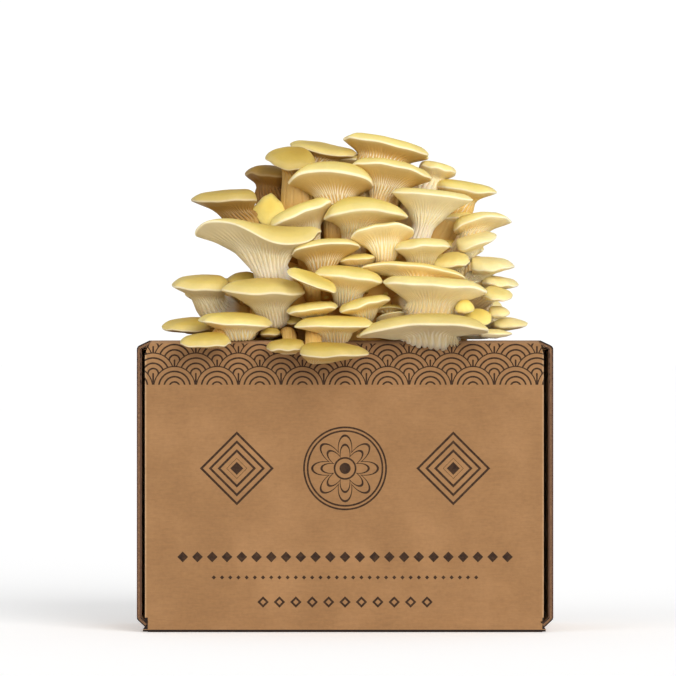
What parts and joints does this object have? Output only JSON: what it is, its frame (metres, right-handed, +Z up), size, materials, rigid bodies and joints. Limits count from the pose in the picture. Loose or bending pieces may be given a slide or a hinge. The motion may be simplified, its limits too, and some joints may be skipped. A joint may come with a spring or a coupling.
{
  "type": "oyster mushroom grow kit",
  "caption": "Folded kraft carton holding a block of grown-through substrate, with a dense cluster of golden oyster mushrooms grown out of the opening in its top.",
  "frame": {"origin": "middle of the carton's footprint, on the surface it stands on", "axes": "+X to the right along the carton's width, +Y away from the viewer to the back, +Z up"},
  "size_m": [0.254, 0.1647, 0.3052],
  "materials": {
    "kraft_board": "matte",
    "substrate": "matte",
    "mushroom_flesh": "matte"
  },
  "bodies": {
    "root": {"carton": "kraft_board", "substrate_block": "substrate", "stem_knot": "mushroom_flesh", "oyster_top_1": "mushroom_flesh", "oyster_top_2": "mushroom_flesh", "oyster_top_3": "mushroom_flesh", "oyster_top_4": "mushroom_flesh", "oyster_top_5": "mushroom_flesh", "oyster_top_6": "mushroom_flesh", "oyster_top_7": "mushroom_flesh", "oyster_left_1": "mushroom_flesh", "oyster_left_2": "mushroom_flesh", "oyster_left_3": "mushroom_flesh", "oyster_left_4": "mushroom_flesh", "oyster_left_5": "mushroom_flesh", "oyster_left_6": "mushroom_flesh", "oyster_left_7": "mushroom_flesh", "oyster_left_8": "mushroom_flesh", "oyster_left_9": "mushroom_flesh", "oyster_left_10": "mushroom_flesh", "oyster_left_11": "mushroom_flesh", "oyster_left_13": "mushroom_flesh", "oyster_mid_1": "mushroom_flesh", "oyster_mid_2": "mushroom_flesh", "oyster_mid_3": "mushroom_flesh", "oyster_mid_4": "mushroom_flesh", "oyster_mid_5": "mushroom_flesh", "oyster_mid_6": "mushroom_flesh", "oyster_mid_7": "mushroom_flesh", "oyster_mid_8": "mushroom_flesh", "oyster_mid_9": "mushroom_flesh", "oyster_mid_10": "mushroom_flesh", "oyster_mid_12": "mushroom_flesh", "oyster_mid_13": "mushroom_flesh", "oyster_mid_14": "mushroom_flesh", "oyster_front_1": "mushroom_flesh", "oyster_front_2": "mushroom_flesh", "oyster_right_1": "mushroom_flesh", "oyster_right_2": "mushroom_flesh", "oyster_right_3": "mushroom_flesh", "oyster_right_4": "mushroom_flesh", "oyster_right_5": "mushroom_flesh", "oyster_right_6": "mushroom_flesh", "oyster_right_7": "mushroom_flesh", "oyster_right_9": "mushroom_flesh", "oyster_right_10": "mushroom_flesh", "oyster_right_11": "mushroom_flesh", "oyster_right_12": "mushroom_flesh", "oyster_right_13": "mushroom_flesh", "oyster_right_14": "mushroom_flesh", "oyster_back_1": "mushroom_flesh", "oyster_back_2": "mushroom_flesh", "oyster_back_3": "mushroom_flesh", "oyster_back_4": "mushroom_flesh", "oyster_back_5": "mushroom_flesh", "oyster_back_6": "mushroom_flesh", "oyster_back_7": "mushroom_flesh", "oyster_back_8": "mushroom_flesh", "oyster_back_9": "mushroom_flesh", "oyster_back_10": "mushroom_flesh"}
  },
  "joints": []
}
